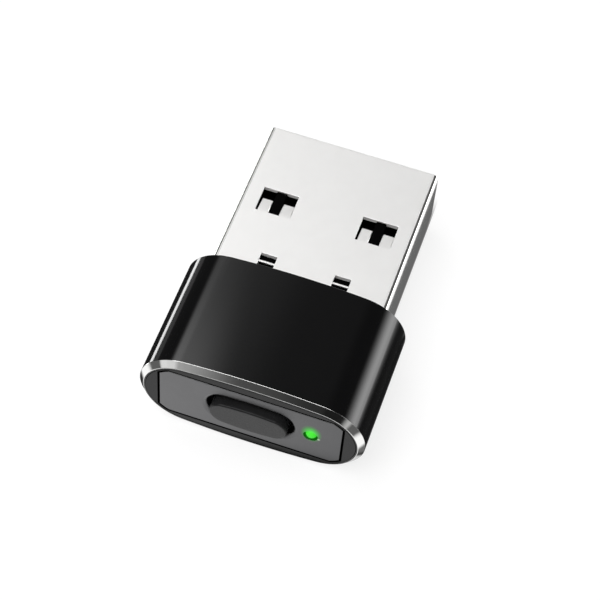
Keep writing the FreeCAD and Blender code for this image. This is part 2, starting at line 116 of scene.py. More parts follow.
def plate_loop(grow, steps=16):
    """Straight-sided outline whose corners follow the sleeve's oval, shrunk by the inset."""
    def outline(inset):
        change = grow - inset
        reach, radius = SLEEVE_HALF_W - SLEEVE_END_R, SLEEVE_END_R - PLATE_INSET + change
        start = math.acos((PLATE_HALF_W + change - reach) / radius)
        end = math.asin((PLATE_HALF_H + change) / radius)
        angles = [start + (end - start) * i / steps for i in range(steps + 1)]
        corner = [(reach + radius * math.cos(a), radius * math.sin(a)) for a in angles]
        points = corner + [(-x, z) for x, z in reversed(corner)]
        points += [(-x, -z) for x, z in corner] + [(x, -z) for x, z in reversed(corner)]
        return [(x, Z_AXIS + z) for x, z in points]
    return outline


def circle(x, z, radius, steps=48):
    return [(x + radius * math.cos(2 * math.pi * i / steps),
             z + radius * math.sin(2 * math.pi * i / steps)) for i in range(steps)]


def arc_profile(start, end, centre, radius, steps=5):
    """(inset, y) points on an arc between two angles in degrees."""
    points = []
    for i in range(steps + 1):
        a = math.radians(start + (end - start) * i / steps)
        points.append((centre[0] + radius * math.cos(a), centre[1] + radius * math.sin(a)))
    return points


# Mesh making: a part is a tuple of vertices, faces and the material number of each face
def skin(rings, index_of=None, cap_start=False, cap_end=False):
    """Skins closed rings that have the same number of points."""
    count = len(rings[0])
    verts = [p for r in rings for p in r]
    faces, indices = [], []
    for k in range(len(rings) - 1):
        for i in range(count):
            j = (i + 1) % count
            faces.append((k * count + i, k * count + j, (k + 1) * count + j, (k + 1) * count + i))
            indices.append(index_of(k) if index_of else 0)
    if cap_start:
        faces.append(tuple(reversed(range(count))))
        indices.append(index_of(0) if index_of else 0)
    if cap_end:
        base = (len(rings) - 1) * count
        faces.append(tuple(base + i for i in range(count)))
        indices.append(index_of(len(rings) - 2) if index_of else 0)
    return verts, faces, indices


def outward(part):
    """A closed part with its faces turned outwards."""
    verts, faces, indices = part
    volume = 0
    for face in faces:
        a = Vector(verts[face[0]])
        for i in range(1, len(face) - 1):
            volume += a.dot(Vector(verts[face[i]]).cross(Vector(verts[face[i + 1]])))
    if volume < 0:
        faces = [tuple(reversed(face)) for face in faces]
    return verts, faces, indices


def cap_faces(verts, rims, flip):
    """Triangles between the rims of a flat plate, turned to the front or, flipped, to the back."""
    flat = [i for rim in rims for i in rim]
    lines = [[Vector((verts[i][0], verts[i][2], 0)) for i in rim] for rim in rims]
    faces = []
    for tri in tessellate_polygon(lines):
        face = [flat[i] for i in tri]
        (ax, _, az), (bx, _, bz), (cx, _, cz) = (verts[i] for i in face)
        turned = (bx - ax) * (cz - az) - (bz - az) * (cx - ax) < 0
        faces.append(tuple(reversed(face)) if turned != flip else tuple(face))
    return faces


def plate(loops, y0, y1, steps=5):
    """A flat plate across Y, from y0 to y1.

    Each loop gives its outline for an inset, its edge round and its wall's material.
    """
    verts, faces, indices, fronts, backs = [], [], [], [], []
    for number, (outline, edge, wall) in enumerate(loops):
        rings = []
        for i in range(steps + 1 if edge else 1):
            a = math.pi / 2 * i / steps
            y = y0 + edge * (1 - math.cos(a))
            rings.append([(x, y, z) for x, z in outline(edge * (1 - math.sin(a)))])
        rings.append([(x, y1, z) for x, z in outline(0)])
        base, count = len(verts), len(rings[0])
        verts += [p for r in rings for p in r]
        for k in range(len(rings) - 1):
            for i in range(count):
                j = (i + 1) % count
                quad = (base + k * count + i, base + k * count + j,
                        base + (k + 1) * count + j, base + (k + 1) * count + i)
                faces.append(quad if number == 0 else tuple(reversed(quad)))
                indices.append(wall(i) if k == len(rings) - 2 else 0)
        fronts.append(list(range(base, base + count)))
        backs.append(list(range(base + (len(rings) - 1) * count, base + len(rings) * count)))
    for rims, flip in ((fronts, False), (backs, True)):
        caps = cap_faces(verts, rims, flip)
        faces += caps
        indices += [0] * len(caps)
    return verts, faces, indices


def placed(part, place):
    """A part with each vertex put through a function of x, y and z."""
    verts, faces, indices = part
    return [place(*v) for v in verts], faces, indices


def joined(parts):
    """Several parts as one, without welding them."""
    verts, faces, indices = [], [], []
    for more_verts, more_faces, more_indices in parts:
        base = len(verts)
        verts += more_verts
        faces += [tuple(base + i for i in face) for face in more_faces]
        indices += more_indices
    return verts, faces, indices


AREA_SCALE = 1e9


def weigh_normals(mesh):
    """Sets corner normals to the mean by face area inside each smooth group."""
    face_at, group = {}, {}
    for polygon in mesh.polygons:
        for corner in polygon.loop_indices:
            vertex = mesh.loops[corner].vertex_index
            group[(vertex, polygon.index)] = (vertex, polygon.index)
            face_at.setdefault(mesh.loops[corner].edge_index, []).append(polygon.index)

    def root(key):
        while group[key] != key:
            key = group[key]
        return key

    for edge in mesh.edges:
        faces = face_at.get(edge.index, [])
        if len(faces) == 2 and not edge.use_edge_sharp:
            for vertex in edge.vertices:
                group[root((vertex, faces[0]))] = root((vertex, faces[1]))
    sums = {}
    for key in group:
        polygon = mesh.polygons[key[1]]
        sums[root(key)] = sums.get(root(key), Vector()) + polygon.normal * (polygon.area * AREA_SCALE)
    normals = [None] * len(mesh.loops)
    for polygon in mesh.polygons:
        for corner in polygon.loop_indices:
            key = root((mesh.loops[corner].vertex_index, polygon.index))
            normals[corner] = sums[key].normalized()
    mesh.normals_split_custom_set(normals)


def new_object(name, part, materials, smooth=28):
    verts, faces, indices = part
    mesh = bpy.data.meshes.new(name)
    mesh.from_pydata([tuple(c * MM for c in v) for v in verts], [], faces)
    for m in materials:
        mesh.materials.append(m)
    mesh.polygons.foreach_set("material_index", indices)
    mesh.polygons.foreach_set("use_smooth", [True] * len(mesh.polygons))
    mesh.update()
    mesh.set_sharp_from_angle(angle=math.radians(smooth))
    weigh_normals(mesh)
    obj = bpy.data.objects.new(name, mesh)
    bpy.context.scene.collection.objects.link(obj)
    return obj


def dress(obj, body, node):
    """A modelled mesh takes the place of a CAD node and rides on its body."""
    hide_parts(node)
    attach(obj, body)
    return obj


# Materials
class Field:
    """Math nodes on a node tree, for light that depends on direction or place."""

    def __init__(self, tree):
        self.tree = tree

    def node(self, operation, *values):
        node = self.tree.nodes.new("ShaderNodeMath")
        node.operation = operation
        for socket, value in zip(node.inputs, values):
            if hasattr(value, "links"):
                self.tree.links.new(value, socket)
            else:
                socket.default_value = value
        return node.outputs[0]

    def times(self, first, *rest):
        for value in rest:
            first = self.node("MULTIPLY", first, value)
        return first

    def total(self, first, *rest):
        for value in rest:
            first = self.node("ADD", first, value)
        return first

    def step(self, value, low, high, to_low=0.0, to_high=1.0):
        """Smooth step from to_low at low to to_high at high, also where high is below low."""
        if low > high:
            low, high, to_low, to_high = high, low, to_high, to_low
        node = self.tree.nodes.new("ShaderNodeMapRange")
        node.interpolation_type = "SMOOTHSTEP"
        self.tree.links.new(value, node.inputs["Value"])
        for key, number in (("From Min", low), ("From Max", high), ("To Min", to_low), ("To Max", to_high)):
            node.inputs[key].default_value = number
        return node.outputs["Result"]

    def axes(self, vector):
        node = self.tree.nodes.new("ShaderNodeSeparateXYZ")
        self.tree.links.new(vector, node.inputs[0])
        return node.outputs[0], node.outputs[1], node.outputs[2]


class Nodes:
    """A small builder for one node material."""

    def __init__(self, name):
        self.material = bpy.data.materials.new(name)
        self.material.use_nodes = True
        self.tree = self.material.node_tree
        self.shader = self.tree.nodes["Principled BSDF"]
        self.coords = self.tree.nodes.new("ShaderNodeTexCoord").outputs["Object"]

    def add(self, kind, **inputs):
        node = self.tree.nodes.new(kind)
        for key, value in inputs.items():
            if hasattr(value, "links"):
                self.tree.links.new(value, node.inputs[key])
            else:
                node.inputs[key].default_value = value
        return node

    def link(self, output, socket):
        self.tree.links.new(output, socket)

    def noise(self, scale, detail=4.0, rough=0.5, stretch=(1, 1, 1)):
        mapped = self.add("ShaderNodeMapping", Vector=self.coords)
        mapped.inputs["Scale"].default_value = stretch
        node = self.add("ShaderNodeTexNoise", Vector=mapped.outputs[0], Scale=scale,
                        Detail=detail, Roughness=rough)
        return node.outputs["Fac"]

    def ramp(self, value, stops):
        node = self.add("ShaderNodeValToRGB", Fac=value)
        ramp = node.color_ramp
        while len(ramp.elements) < len(stops):
            ramp.elements.new(0.5)
        for element, (pos, colour) in zip(ramp.elements, stops):
            element.position = pos
            element.color = (*colour, 1) if len(colour) == 3 else colour
        return node.outputs["Color"]

    def blend(self, kind, first, second):
        node = self.tree.nodes.new("ShaderNodeMix")
        node.data_type, node.blend_type = "RGBA", kind
        node.inputs["Factor"].default_value = 1.0
        self.link(first, node.inputs["A"])
        self.link(second, node.inputs["B"])
        return node.outputs["Result"]

    def spread(self, value, low, high, to_low=0.0, to_high=1.0):
        node = self.tree.nodes.new("ShaderNodeMapRange")
        self.link(value, node.inputs["Value"])
        for key, number in (("From Min", low), ("From Max", high), ("To Min", to_low), ("To Max", to_high)):
            node.inputs[key].default_value = number
        return node.outputs["Result"]

    def bump(self, value, depth, strength=1.0):
        node = self.add("ShaderNodeBump", Strength=strength, Distance=depth, Height=value)
        self.link(node.outputs["Normal"], self.shader.inputs["Normal"])

    def set(self, **values):
        for key, value in values.items():
            self.shader.inputs[key.replace("_", " ")].default_value = value


def shade(colour, factor):
    return tuple(c * factor for c in colour)


def surface(name, colour, roughness, metallic=0.0, specular=0.5, grain=9000, depth=0.000002,
            vary=0.12, rough_vary=0.06, stretch=(1, 1, 1)):
    """Moulded, cast or plated surface: fine grain, uneven colour and uneven gloss."""
    n = Nodes(name)
    cloud = n.noise(900, 3.0, 0.55)
    fine = n.noise(grain, 5.0, 0.6, stretch)
    n.link(n.ramp(cloud, ((0.3, shade(colour, 1 - vary)), (0.7, shade(colour, 1 + vary)))),
           n.shader.inputs["Base Color"])
    n.link(n.spread(fine, 0.3, 0.7, max(roughness - rough_vary, 0.02), roughness + rough_vary),
           n.shader.inputs["Roughness"])
    n.bump(fine, depth)
    n.set(Metallic=metallic, Specular_IOR_Level=specular)
    return n.material


M = {
    "coat": surface("coat", (0.0015, 0.0015, 0.0017), 0.09, depth=0.0000003, rough_vary=0.02),
    "bevel": surface("bevel", (0.86, 0.86, 0.85), 0.07, metallic=1.0, vary=0.03, rough_vary=0.04,
                     depth=0.0000006),
    "bezel": surface("bezel", (0.004, 0.004, 0.0045), 0.2, specular=0.2, depth=0.0000006, rough_vary=0.04),
    # Painted shade: near-black, almost glossless walls of the gaps and recesses round the faceplate, standing
    # in for their shade.
    "well": surface("well", (0.002, 0.002, 0.002), 0.4, specular=0.05, depth=0.000002),
    "button": surface("button", (0.011, 0.011, 0.0115), 0.3, specular=0.32, depth=0.0000008, rough_vary=0.04),
    # Painted light: a lighter copy of the button's plastic for its side wall, standing in for light reaching
    # into the gap.
    "button_side_painted_light": surface("button_side_painted_light", (0.017, 0.017, 0.0175), 0.25, specular=0.12, depth=0.0000008),
    "nickel": surface("nickel", (0.965, 0.96, 0.95), 0.48, metallic=1.0, vary=0.012, rough_vary=0.025,
                      grain=7000, stretch=(1, 0.12, 1), depth=0.0000004),
    "bend": surface("bend", (0.9, 0.895, 0.88), 0.1, metallic=1.0, vary=0.02, rough_vary=0.03,
                    grain=7000, stretch=(1, 0.12, 1), depth=0.0000003),
    "side": surface("side", (0.88, 0.875, 0.87), 0.05, metallic=1.0, vary=0.02, rough_vary=0.015,
                    grain=7000, stretch=(1, 0.12, 1), depth=0.0000001),
    "burr": surface("burr", (0.3, 0.3, 0.295), 0.35, metallic=1.0, vary=0.05, depth=0.000001),
    # Painted shade: dark metal for the shell's cut walls that face away or sideways, standing in for their
    # shade.
    "painted_shade_metal": surface("painted_shade_metal", (0.05, 0.05, 0.05), 0.4, metallic=1.0, vary=0.05, depth=0.000001),
    "cut": surface("cut", (0.82, 0.81, 0.8), 0.5, vary=0.08, rough_vary=0.08,
                   grain=16000, stretch=(1, 1, 0.2), depth=0.0000015),
    "black": surface("black", (0.006, 0.006, 0.0065), 0.45, specular=0.3, depth=0.000003),
    "insulator": surface("insulator", (0.0012, 0.0012, 0.0013), 0.5, specular=0.012, depth=0.000002),
    "gold": surface("gold", (0.86, 0.62, 0.24), 0.22, metallic=1.0, vary=0.05),
    "board": surface("board", (0.02, 0.12, 0.05), 0.35),
    "steel": surface("steel", (0.62, 0.62, 0.6), 0.3, metallic=1.0, vary=0.06),
    "cream": surface("cream", (0.75, 0.73, 0.66), 0.4),
    "chip": surface("chip", (0.02, 0.02, 0.022), 0.55, depth=0.000004),
    "tan": surface("tan", (0.42, 0.28, 0.16), 0.5),
    "tin": surface("tin", (0.7, 0.7, 0.69), 0.35, metallic=1.0),
}


def distance(n, x, y, z, stretch=1.0):
    """Distance of a point of the surface from a place, in metres, with X counted stretch times."""
    place = n.add("ShaderNodeVectorMath", Vector=n.coords)
    place.operation = "SUBTRACT"
    place.inputs[1].default_value = (x * MM, y * MM, z * MM)
    scaled = n.add("ShaderNodeVectorMath", Vector=place.outputs[0])
    scaled.operation = "MULTIPLY"
    scaled.inputs[1].default_value = (stretch, 1, 1)
    size = n.tree.nodes.new("ShaderNodeVectorMath")
    size.operation = "LENGTH"
    n.link(scaled.outputs[0], size.inputs[0])
    return size.outputs["Value"]


def lens_material():
    """Lit green plastic, brightest on the upper side of the dome."""
    n = Nodes("lens")
    glow = n.spread(distance(n, LENS_X - 0.05, Y_FRONT + DOME_DEPTH - 0.2, Z_AXIS + LENS_R), 0.0001, 0.0007)
    green = n.ramp(glow, ((0.0, (0.08, 0.8, 0.05)), (0.5, (0.045, 0.68, 0.025)), (1.0, (0.02, 0.45, 0.015))))
    n.link(green, n.shader.inputs["Emission Color"])
    n.bump(n.noise(6000), 0.000001)
    n.set(Base_Color=(0.02, 0.2, 0.015, 1), Roughness=0.3, Emission_Strength=1.0, Specular_IOR_Level=0.15)
    return n.material


def socket_material():
    """Dark wall of the lamp's hole with the lamp's light on it."""
    n = Nodes("socket")
    n.link(n.ramp(n.noise(5000), ((0.3, (0.003, 0.04, 0.003)), (0.7, (0.005, 0.06, 0.005)))),
           n.shader.inputs["Base Color"])
    n.bump(n.noise(8000), 0.000001)
    n.set(Roughness=0.4, Specular_IOR_Level=0.1)
    n.set(Emission_Color=(0.004, 0.075, 0.003, 1), Emission_Strength=1.0)
    return n.material


def plate_material():
    """Satin grey metal with painted light: lighter to the left, the lamp's glow round its hole and a glint on
    the hole's right rim.
    """
    n = Nodes("plate")
    x = n.tree.nodes.new("ShaderNodeSeparateXYZ")
    n.link(n.coords, x.inputs[0])
    # Painted light: the base colour runs lighter to the left, as if more light fell from that side.
    side = n.ramp(n.spread(x.outputs[0], -PLATE_HALF_W * MM, PLATE_HALF_W * MM),
                  ((0.0, (0.142, 0.142, 0.145)), (1.0, (0.105, 0.105, 0.108))))
    cloud = n.ramp(n.noise(900, 3.0, 0.55), ((0.3, (0.975,) * 3), (0.7, (1.025,) * 3)))
    # Painted light from the lamp: a green glow round the hole, as emission and as a green tint of the base
    # colour.
    glow = n.spread(distance(n, LENS_X + 0.03, Y_FRONT, Z_AXIS + 0.3, 1.3), 0.0002, 0.00095)
    halo = n.ramp(glow, ((0.0, (0.0, 0.78, 0.0)), (0.19, (0.0, 0.53, 0.0)), (0.35, (0.0, 0.38, 0.0)),
                         (0.67, (0.0, 0.13, 0.0)), (0.83, (0.0, 0.05, 0.0)), (1.0, (0.0, 0.0, 0.0))))
    painted_glow_tint = n.ramp(glow, ((0.0, (0.7, 1.0, 0.62)), (0.6, (0.78, 1.0, 0.74)), (1.0, (1.0, 1.0, 1.0))))
    n.link(n.blend("MULTIPLY", n.blend("MULTIPLY", side, cloud), painted_glow_tint), n.shader.inputs["Base Color"])
    fine = n.noise(9000, 5.0, 0.6)
    n.link(n.spread(fine, 0.3, 0.7, 0.29, 0.35), n.shader.inputs["Roughness"])
    n.bump(fine, 0.0000004)
    # Painted glint: a small emission spot on the right rim of the lamp's hole.
    painted_glint = n.ramp(n.spread(distance(n, LENS_X + 0.55, Y_FRONT, Z_AXIS - 0.11), 0.00004, 0.00013),
                   ((0.0, (0.3, 0.36, 0.27)), (1.0, (0.0, 0.0, 0.0))))
    n.link(n.blend("ADD", halo, painted_glint), n.shader.inputs["Emission Color"])
    n.set(Metallic=1.0, Emission_Strength=1.0)
    return n.material


M["socket"] = socket_material()
M["plate"] = plate_material()
M["lens"] = lens_material()


# Pieces
def sleeve(wall=0.5, wall_edge=0.02, rear_wall=0.9, bevel=0.37, edge=0.05, inner=0.055, rear_round=0.06):
    """Tube with a bright bevel at the front, whose rear wall closes in on the plug."""
    slope, octant = math.pi / 4, math.tan(math.pi / 8)
    profile = [(wall, Y_REAR - rear_wall), (wall, Y_FRONT + wall_edge), (wall - wall_edge, Y_FRONT)]
    bevel_start = len(profile)
    inner_steps, edge_steps, bright_rounds = 3, 6, 3
    for i in range(inner_steps + 1):
        a = slope * i / inner_steps
        profile.append((bevel + inner * (octant - math.sin(a)), Y_FRONT + inner * (1 - math.cos(a))))
    for i in range(edge_steps + 1):
        a = slope * (1 - i / edge_steps)
        profile.append((edge * (1 - math.cos(a)), Y_FRONT + bevel + edge * octant - edge * math.sin(a)))
    bevel_end = len(profile) - 1 - bright_rounds
    profile += arc_profile(180, 90, (rear_round, Y_REAR - rear_round), rear_round, 6)
    rings = [ring(SLEEVE, inset, y, flatten=True) for inset, y in profile]
    rings.append([plug_edge(p) for p in rings[-1]])
    rings.append([(x, Y_REAR - rear_wall, z) for x, y, z in rings[-1]])
    part = skin(rings, lambda k: 1 if bevel_start <= k < bevel_end else 0)
    obj = new_object("sleeve_body", part, (M["coat"], M["bevel"]), smooth=35)
    return dress(obj, "device", "housing_sleeve")


def plug_edge(p, gap=0.03):
    """The point of the plug opening's outline in the same direction from the axis."""
    x, z = p[0], p[2] - Z_AXIS
    w, h, r = PLUG_HALF_W + gap, PLUG_HALF_H + gap, PLUG_CORNER + gap
    scale = min(w / abs(x) if x else math.inf, h / abs(z) if z else math.inf)
    sx, sz = x * scale, z * scale
    if abs(sx) > w - r and abs(sz) > h - r:
        cx, cz = math.copysign(w - r, sx), math.copysign(h - r, sz)
        a, b, c = x * x + z * z, -2 * (x * cx + z * cz), cx * cx + cz * cz - r * r
        t = (-b + math.sqrt(max(b * b - 4 * a * c, 0))) / (2 * a)
        sx, sz = x * t, z * t
    return (sx, Y_REAR, sz + Z_AXIS)


def oval_loop(frames, trim=0.0):
    """An oval's outline, trimmed all round, that shrinks by the inset."""
    return lambda inset: flat_ring(frames, trim + inset)


def oval_hole(frames):
    """An oval opening that widens by the inset."""
    return lambda inset: flat_ring(frames, -inset)


def lens_hole():
    """The light guide's round hole, which widens by the inset."""
    return lambda inset: circle(LENS_X, Z_AXIS, LENS_HOLE + inset)


def painted(index):
    """One material for a whole wall."""
    return lambda i: index


def bezel(rim_trim=0.53, back_trim=0.54, edge=0.02):
    """Dark rim round the faceplate, and the wall behind it with holes for the button and the light."""
    recess = plate_loop(PLATE_GAP)
    # Painted shade: the rim's walls and the whole wall behind are near-black, standing in for the shade in
    # the gaps.
    dark = painted(1)
    rim = plate(((oval_loop(SLEEVE, rim_trim), edge, dark), (lambda inset: recess(-inset), edge, dark)),
                Y_FRONT, Y_FLOOR)
    back = plate(((oval_loop(SLEEVE, back_trim), edge, dark), (oval_hole(BACK_HOLE), edge, dark),
                  (lens_hole(), edge, dark)), Y_FLOOR, Y_BACK)
    well = (back[0], back[1], [1] * len(back[2]))
    obj = new_object("bezel_rim", joined((rim, well)), (M["bezel"], M["well"]), smooth=32)
    return dress(obj, "device", "front_bezel")


def faceplate(edge=0.03, opening_round=0.3):
    """Grey plate whose button opening has a wide soft edge. The walls of its outline and of the button
    opening are painted near-black as shade.
    """
    part = plate(((plate_loop(0), edge, painted(1)), (oval_hole(OPENING), opening_round, painted(1)),
                  (lens_hole(), edge, painted(2))), Y_FRONT, Y_FLOOR)
    obj = new_object("face_plate", part, (M["plate"], M["well"], M["socket"]), smooth=32)
    return dress(obj, "device", "faceplate")


def button(edge=0.13, edge_steps=6, flange=0.5, face_insets=(0.9, 0.3), end_inset=0.6):
    """Raised oval button with a flange behind the plate. The face and its round share the top material; the
    side wall has a lighter copy of it, which is painted light.
    """
    face = Y_FRONT - BUTTON_PROUD
    profile = [(inset, face) for inset in face_insets]
    profile += [(edge * (1 - math.sin(a)), face + edge * (1 - math.cos(a)))
                for a in (math.pi / 2 * i / edge_steps for i in range(edge_steps + 1))]
    profile += [(0.0, Y_NECK), (0.0, Y_FLANGE), (-flange, Y_FLANGE)]
    profile += [(-flange, Y_BUTTON_END), (end_inset, Y_BUTTON_END)]
    rings = [ring(BUTTON, inset, y) for inset, y in profile]
    top_bands = len(face_insets) + 2
    part = skin(rings, lambda k: 0 if k < top_bands else 1, True, True)
    obj = new_object("button_body", part, (M["button"], M["button_side_painted_light"]), smooth=35)
    return dress(obj, "button", "button_cap")


def lens(step=9, quarter=90):
    """Light guide with a domed end, whose round is drawn in steps of some degrees."""
    centre = Y_FRONT + DOME_DEPTH
    profile = [(LENS_R * math.sin(a), centre - LENS_R * math.cos(a))
               for a in (math.radians(degrees) for degrees in range(step, quarter + 1, step))]
    profile += [(LENS_R, Y_FLOOR), (LENS_R, Y_LENS_END)]
    rings = []
    for radius, y in profile:
        rings.append([(x, y, z) for x, z in circle(LENS_X, Z_AXIS, radius)])
    obj = new_object("lens_body", skin(rings, None, True, True), (M["lens"],), smooth=40)
    return dress(obj, "device", "led_lens")


PLUG_MATERIALS = ("nickel", "bend", "side", "cut", "burr", "painted_shade_metal")
NICKEL, BEND, SIDE, CUT, BURR, PAINTED_SHADE_METAL = range(len(PLUG_MATERIALS))
SHEET_EDGE_X = 5.55
TIP_STRIP = 0.2
SEAM = 0.03
FLAP_LEFT, FLAP_RIGHT = (0.15, 0.91), 0.79
BAR_HALF_W, BAR_Y, BAR_Z = 0.7, (-0.29, -0.13), (5.515, 5.655)
TAB_X, TAB_HALF_W, TAB_Y, TAB_Z = 5.85, 0.15, (-5.2, Y_SHELL_END + 0.2), (2.97, 3.87)


def plug_corner(steps=10):
    """Upper right round of the plug's outline."""
    angles = [math.pi / 2 * (1 - i / steps) for i in range(steps + 1)]
    return [(PLUG_HALF_W - PLUG_CORNER + PLUG_CORNER * math.cos(a),
             PLUG_HALF_H - PLUG_CORNER + PLUG_CORNER * math.sin(a)) for a in angles]


def sheet(path, y_back, index_of=None, edge=0.1, tip_steps=5):
    """The shell's sheet along a path of outer points, from y_back to the rounded tip."""
    inner_w, inner_h = PLUG_HALF_W - PLUG_WALL, PLUG_HALF_H - PLUG_WALL
    section = [(0, y_back), (0, Y_TIP - edge)]
    section += [(edge * (1 - math.cos(a)), Y_TIP - edge * (1 - math.sin(a)))
                for a in (math.pi / 2 * i / tip_steps for i in range(1, tip_steps + 1))]
    section += [(PLUG_WALL - edge / 2, Y_TIP), (PLUG_WALL, Y_TIP - edge / 2), (PLUG_WALL, y_back)]
    rings = []
    for x, z in path:
        inner_x = max(-inner_w, min(inner_w, x))
        inner_z = max(-inner_h, min(inner_h, z))
        ratios = ((inset / PLUG_WALL, y) for inset, y in section)
        rings.append([(x + (inner_x - x) * t, y, Z_AXIS + z + (inner_z - z) * t) for t, y in ratios])
    return outward(skin(rings, index_of, True, True))


def box_loop(x0, x1, y0, y1, corner=0.06, steps=4):
    """Rectangle with round corners that grows by the inset."""
    def outline(inset):
        points = []
        for cx, cy, start in ((x1 - corner, y1 - corner, 0), (x0 + corner, y1 - corner, 90),
                              (x0 + corner, y0 + corner, 180), (x1 - corner, y0 + corner, 270)):
            for i in range(steps + 1):
                a = math.radians(start + 90 * i / steps)
                points.append((cx + (corner + inset) * math.cos(a), cy + (corner + inset) * math.sin(a)))
        return points
    return outline


def sheet_plate(x0, x1, holes, up, edge=0.03, far_wall=range(3, 7)):
    """The flat top or bottom of the shell, with its openings. The far wall of each shows the cut sheet; the
    other walls and the plate's edges are dark metal, painted shade.
    """
    rect = [(x0, Y_SHELL_END), (x1, Y_SHELL_END), (x1, Y_TIP - TIP_STRIP), (x0, Y_TIP - TIP_STRIP)]
    loops = [(lambda inset: rect, 0, painted(PAINTED_SHADE_METAL))]
    loops += [(box_loop(*hole), edge, lambda i: CUT if i in far_wall else PAINTED_SHADE_METAL) for hole in holes]
    z_top, z_low = Z_AXIS + PLUG_HALF_H, Z_AXIS - PLUG_HALF_H
    if up:
        return placed(plate(loops, -z_top, PLUG_WALL - z_top), lambda x, y, z: (x, z, -y))
    return placed(plate(loops, z_low, z_low + PLUG_WALL), lambda x, y, z: (-x, z, y))


NOSE_ANGLES = (0.5, 0.9, 1.2, 1.4, 1.5)


def window_flap(x0, x1, thickness=0.2, length=1.25, drop=0.22, edge=0.03, curl=1.7, steps=7):
    """A tongue of the sheet, bent down towards its round free end."""
    z_mid = Z_AXIS + PLUG_HALF_H - thickness / 2
    straight = length - thickness / 2
    stations = [(-edge, 0)] + [(straight * i / steps, 0) for i in range(steps + 1)]
    stations += [(straight + thickness / 2 * math.sin(a), a) for a in NOSE_ANGLES]
    rings = []
    for along, nose in stations:
        share = max(along, 0) / length
        y, z = WINDOW_Y[0] + along, z_mid - drop * share ** curl
        tilt = math.atan(curl * drop / length * share ** (curl - 1))
        half = thickness / 2 * math.cos(nose)
        rim = min(edge, half / 2)
        section = ((x0 + rim, half), (x1 - rim, half), (x1, half - rim), (x1, rim - half),
                   (x1 - rim, -half), (x0 + rim, -half), (x0, rim - half), (x0, half - rim))
        rings.append([(x, y + h * math.sin(tilt), z + h * math.cos(tilt)) for x, h in section])
    return outward(skin(rings, lambda k: NICKEL if k <= steps else BURR, True, True))


def rod(x, half_w, y0, y1, z0, z1, corner=0.04, steps=3):
    """A bar along X with rounded long edges."""
    section = []
    for cy, cz, start in ((y1 - corner, z1 - corner, 0), (y0 + corner, z1 - corner, 90),
                          (y0 + corner, z0 + corner, 180), (y1 - corner, z0 + corner, 270)):
        for i in range(steps + 1):
            a = math.radians(start + 90 * i / steps)
            section.append((cy + corner * math.cos(a), cz + corner * math.sin(a)))
    rings = [[(x + side * half_w, y, z) for y, z in section] for side in (-1, 1)]
    return outward(skin(rings, None, True, True))


def plug_wall():
    """Outline of the right side wall with both corner rounds, and the finish of each of its faces."""
    corner = plug_corner()
    wall = [(SHEET_EDGE_X, PLUG_HALF_H)] + corner + [(PLUG_HALF_W, 0)]
    wall += [(x, -z) for x, z in reversed(corner)] + [(SHEET_EDGE_X, -PLUG_HALF_H)]
    middle, last = len(corner), len(wall) - 2
    return wall, {0: NICKEL, last: NICKEL, middle: SIDE, middle + 1: SIDE}


def plug_shell():
    """Folded sheet with two windows above and below, two rear notches above and a seam below."""
    wall, finish = plug_wall()
    strip = Y_TIP - TIP_STRIP
    parts, holes = [], []
    for side in (-1, 1):
        x = side * WINDOW_X
        window = (x - WINDOW_HALF_W, x + WINDOW_HALF_W, *WINDOW_Y)
        notch_x = side * NOTCH_X
        holes += [window, (notch_x - NOTCH_HALF_W, notch_x + NOTCH_HALF_W, *NOTCH_Y)]
        parts.append(sheet([(side * px, pz) for px, pz in wall], Y_SHELL_END,
                           lambda k: finish.get(k, BEND)))
        parts.append(sheet([(side * SEAM, -PLUG_HALF_H), (side * SHEET_EDGE_X, -PLUG_HALF_H)], strip))
        low, high = sorted((side * SEAM, side * SHEET_EDGE_X))
        parts.append(sheet_plate(low, high, [window], False))
        parts.append(window_flap(window[0] + FLAP_LEFT[0], window[0] + FLAP_LEFT[1]))
        parts.append(window_flap(window[1] - FLAP_RIGHT, window[1]))
        parts.append(rod(notch_x, BAR_HALF_W, *BAR_Y, *BAR_Z))
        parts.append(rod(side * TAB_X, TAB_HALF_W, *TAB_Y, *TAB_Z))
    parts.append(sheet([(-SHEET_EDGE_X, PLUG_HALF_H), (SHEET_EDGE_X, PLUG_HALF_H)], strip))
    parts.append(sheet_plate(-SHEET_EDGE_X, SHEET_EDGE_X, holes, True))
    obj = new_object("plug_shell", joined(parts), [M[key] for key in PLUG_MATERIALS], smooth=20)
    return dress(obj, "device", "usb_shell")


sleeve()
bezel()
faceplate()
button()
lens()
plug_shell()

FINISH = {
    "usb_insulator": "insulator", "usb_rear_block": "insulator",
    "contact_vbus": "gold", "contact_dminus": "gold", "contact_dplus": "gold", "contact_gnd": "gold",
    "board_carrier": "black", "circuit_board": "board", "tact_switch_body": "chip",
    "tact_switch_cover": "steel", "tact_switch_plunger": "chip", "tact_switch_dome": "steel",
    "tact_switch_terminals": "tin", "led_chip": "cream", "microcontroller": "chip",
    "microcontroller_leads": "tin", "crystal": "steel", "voltage_regulator": "chip",
    "regulator_leads": "tin", "capacitors": "tan", "resistors": "chip",
    "contact_solder": "tin", "shell_solder": "tin",
}


def finish_node(node, key, weld_mm=0.001, edge_mm=0.03, flat_degrees=0.5, sharp_degrees=50):
    """A CAD node keeps its shape and gets its material, a fine edge round and clean normals."""
    obj = frame["nodes"][node]
    obj.data.materials.clear()
    obj.data.materials.append(M[key])
    weld = obj.modifiers.new("weld", "WELD")
    weld.merge_threshold = weld_mm * MM
    flat = obj.modifiers.new("flat", "DECIMATE")
    flat.decimate_type = "DISSOLVE"
    flat.angle_limit = math.radians(flat_degrees)
    edge = obj.modifiers.new("edge", "BEVEL")
    edge.width = edge_mm * MM
    edge.segments = 2
    edge.limit_method = "ANGLE"
    edge.angle_limit = math.radians(sharp_degrees)
    edge.harden_normals = True


for node_name, key in FINISH.items():
    finish_node(node_name, key)


